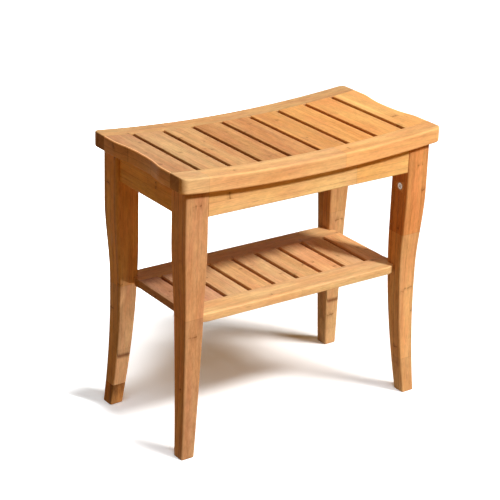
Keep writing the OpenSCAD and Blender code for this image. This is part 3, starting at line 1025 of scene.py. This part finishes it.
# What the floor throws back at the wood, near the stool and elsewhere, and where near begins and
# ends along X and Y, in metres
NEAR_BOUNCE = (0.53, 0.51, 0.47, 1)
BOUNCE = (0.231, 0.12, 0.03, 1)
NEAR_X = ((-0.27, -0.2), (0.3, 0.5))
NEAR_Y = ((-0.16, -0.1), (0.1, 0.2))

# Towards the back left, painted light on the floor lifts the shadow into the white: the direction,
# where along it that light rises, and where it sets in, along Y behind the stool and along X
# beside it, all in metres
FADE_DIRECTION = (-0.74, 0.67)
FADE = (0.13, 0.285)
FADE_BEHIND = (0.09, 0.19)
FADE_BESIDE = (-0.26, -0.225)

# The shadows of the back legs trail off in two thin lines: the left one is kept from the painted
# light, and on the right one less light is added, which paints it darker. For each a point on it
# and the direction across it, then half their width with its soft edge, where along Y the left one
# ends and the right one begins, all in metres, and the light that is left on the right one
LEFT_TRAIL = ((-0.212, 0.105), (0.88, 0.48))
RIGHT_TRAIL = ((0.226, 0.12), (0.73, 0.684))
TRAIL_EDGE = (0.012, 0.03)
LEFT_TRAIL_END = (0.15, 0.2)
RIGHT_TRAIL_START = (0.1, 0.15)
TRAIL_LIFT = (0.02, 0.01, 0.0, 1)


def from_line(s, x, y, point, across):
    """Distance of a place on the floor from a line through a point, measured across the line."""
    return s.plus(s.times(s.minus(x, point[0]), across[0]),
                  s.times(s.minus(y, point[1]), across[1]))


def trail(s, x, y, line):
    """1 along a thin line on the floor, behind a back leg."""
    return s.ramp(s.math("ABSOLUTE", from_line(s, x, y, *line)), *TRAIL_EDGE, 1.0, 0.0)


def floor_material():
    """White paper that keeps the shadows: seen by the camera it is lifted until it is white, with
    more painted light towards the back left and a painted darker streak behind the back right leg.
    """
    s = Shader(bpy.data.materials.new("white_floor"))
    x, y, _ = s.split(s.node("TexCoord").outputs["Object"])
    left_trail = s.times(trail(s, x, y, LEFT_TRAIL), s.ramp(y, *LEFT_TRAIL_END, 1.0, 0.0))
    # Along this streak less light is added to the paper: a painted shadow
    painted_right_streak = s.times(trail(s, x, y, RIGHT_TRAIL), s.ramp(y, *RIGHT_TRAIL_START))
    beside = s.math("MAXIMUM", s.ramp(y, *FADE_BEHIND), s.ramp(x, *FADE_BESIDE, 1.0, 0.0))
    away = from_line(s, x, y, (0.0, 0.0), FADE_DIRECTION)
    # Painted light that lifts the shadow into white towards the back left, apart from along the
    # left trail
    painted_white_out = s.times(s.ramp(away, *FADE), beside, s.minus(1.0, left_trail))
    lift = s.mix(painted_white_out, s.mix(painted_right_streak, PAPER_LIFT, TRAIL_LIFT), WHITE)
    near = s.times(s.window(x, *NEAR_X), s.window(y, *NEAR_Y))
    paper, grey, matt = (s.node("BsdfDiffuse", {"Color": colour}).outputs[0]
                         for colour in (WHITE, GREY_PAPER, s.mix(near, BOUNCE, NEAR_BOUNCE)))
    glow = s.node("Emission", {"Color": lift}).outputs[0]
    shown = s.node("AddShader", {0: paper, 1: glow}).outputs[0]
    return s.finish(s.blend(s.seen(), s.blend(s.mirrored(), matt, grey), shown))


def make_floor():
    """Large sheet just under the feet."""
    half = PAPER_SIZE / 2
    mesh = bpy.data.meshes.new("floor")
    corners = [(-half, -half, 0), (half, -half, 0), (half, half, 0), (-half, half, 0)]
    mesh.from_pydata(corners, [], [(0, 1, 2, 3)])
    mesh.materials.append(floor_material())
    floor = bpy.data.objects.new("floor", mesh)
    bpy.context.scene.collection.objects.link(floor)
    floor.location.z = -PAPER_DROP
    return floor


# Suns: direction, strength, spread in degrees and colour. The floor has suns of its own, so
# that its shadow can be soft where the stool's is crisp: three side by side, and a wide bluish
# one that fills the shadow
DAYLIGHT = (1, 1, 1)
STOOL_SUNS = {
    "key": (Vector((0.46, -0.95, 1.0)), 3.2, 7, DAYLIGHT),
    "soft": (Vector((0.15, -0.5, 1.0)), 0.9, 50, DAYLIGHT),
}
FLOOR_SUNS = {f"floor_{number}": (Vector((lean, -0.7, 1.0)), 1.33, 10, DAYLIGHT)
              for number, lean in enumerate((0.33, 0.48, 0.63), 1)}
FLOOR_SUNS["floor_4"] = (Vector((-0.3, -0.5, 1.0)), 2.0, 45, (0.74, 0.88, 1.0))

# Lamp near the floor that lights the back left leg under the shelf: places and size in metres,
# power in watts
LOW_LAMP = Vector((0.14, -0.25, 0.02))
LOW_LAMP_AIM = Vector((-0.2, 0.08, 0.1))
LOW_LAMP_POWER = 1.4
LOW_LAMP_COLOUR = (1.0, 0.98, 1.1)
LOW_LAMP_SIZE = 0.06

# Dim warm light from all around
AMBIENT = 0.15
AMBIENT_COLOUR = (1.0, 0.62, 0.22, 1)


def make_lamp(kind, name, towards, strength, colour, lit):
    """A lamp that lights only the given objects. All objects throw its shadow."""
    light = bpy.data.lights.new(name, kind)
    light.energy = strength
    light.color = colour
    lamp = bpy.data.objects.new(name, light)
    lamp.rotation_euler = towards.to_track_quat("Z", "Y").to_euler()
    bpy.context.scene.collection.objects.link(lamp)
    receivers = bpy.data.collections.new(name + "_receivers")
    for thing in lit:
        receivers.objects.link(thing)
    lamp.light_linking.receiver_collection = receivers
    return lamp


def make_suns(suns, lit):
    """Suns that light only the given objects."""
    for name, (direction, strength, spread, colour) in suns.items():
        sun = make_lamp("SUN", name, direction, strength, colour, lit)
        sun.data.angle = math.radians(spread)


def make_low_lamp(lit):
    """Small lamp close to the floor, which reaches only what is behind and below the shelf."""
    lamp = make_lamp("AREA", "low", LOW_LAMP - LOW_LAMP_AIM, LOW_LAMP_POWER, LOW_LAMP_COLOUR, lit)
    lamp.data.size = LOW_LAMP_SIZE
    lamp.location = LOW_LAMP
    lamp.visible_camera = False
    lamp.visible_glossy = False


def make_world():
    """Dim warm light, while the camera and what mirrors the world see it white."""
    s = Shader(bpy.data.worlds.new("studio"))
    shown = s.math("ADD", s.seen(), s.mirrored(), clamp=True)
    ambient = s.node("Background", {"Color": AMBIENT_COLOUR, "Strength": AMBIENT}).outputs[0]
    white = s.node("Background", {"Color": WHITE}).outputs[0]
    bpy.context.scene.world = s.finish(s.blend(shown, ambient, white), "OutputWorld")


# Camera, solved from the photograph: angles in degrees, lengths in millimetres. The slide is how
# far it stands to the left of its line to the target, and below it
CAMERA_AZIMUTH = -35.41
CAMERA_ELEVATION = 22.52
CAMERA_ROLL = 1.84
CAMERA_DISTANCE = 2701
CAMERA_TARGET = Vector((0, 0, STOOL_H / 2))
CAMERA_SLIDE = (22.97, -24.46)
IMAGE_PIXELS = 500
FOCAL_PIXELS = 1708
SENSOR_W = 36
VIEW_REACH_M = 50


def make_camera():
    """The photograph's camera: it looks back along its own Z axis."""
    azimuth, elevation, roll = (math.radians(angle) for angle in
                                (CAMERA_AZIMUTH, CAMERA_ELEVATION, CAMERA_ROLL))
    back = Vector((math.sin(azimuth) * math.cos(elevation),
                   -math.cos(azimuth) * math.cos(elevation), math.sin(elevation)))
    level = Vector((0, 0, 1)).cross(back).normalized()
    upright = back.cross(level)
    right = math.cos(roll) * level + math.sin(roll) * upright
    up = -math.sin(roll) * level + math.cos(roll) * upright
    place = (CAMERA_TARGET + back * CAMERA_DISTANCE
             - right * CAMERA_SLIDE[0] - up * CAMERA_SLIDE[1]) * MM
    lens = bpy.data.cameras.new("camera")
    lens.sensor_width = SENSOR_W
    lens.lens = FOCAL_PIXELS / IMAGE_PIXELS * SENSOR_W
    lens.clip_end = VIEW_REACH_M
    camera = bpy.data.objects.new("camera", lens)
    turned = Matrix((right, up, back)).transposed().to_4x4()
    camera.matrix_world = Matrix.Translation(place) @ turned
    bpy.context.scene.collection.objects.link(camera)
    bpy.context.scene.camera = camera


woods = {slot: bamboo(slot, **looks) for slot, looks in WOODS.items()}
build_seat(woods)
build_base(woods)
build_shelf(woods)
finish_fixings()

stool = [thing for thing in bpy.context.scene.objects if thing.type == "MESH"]
make_suns(STOOL_SUNS, stool)
make_suns(FLOOR_SUNS, [make_floor()])
make_low_lamp([bpy.data.objects["leg_back_left_wood"]])
make_world()
make_camera()
bpy.context.scene.view_settings.view_transform = "Standard"
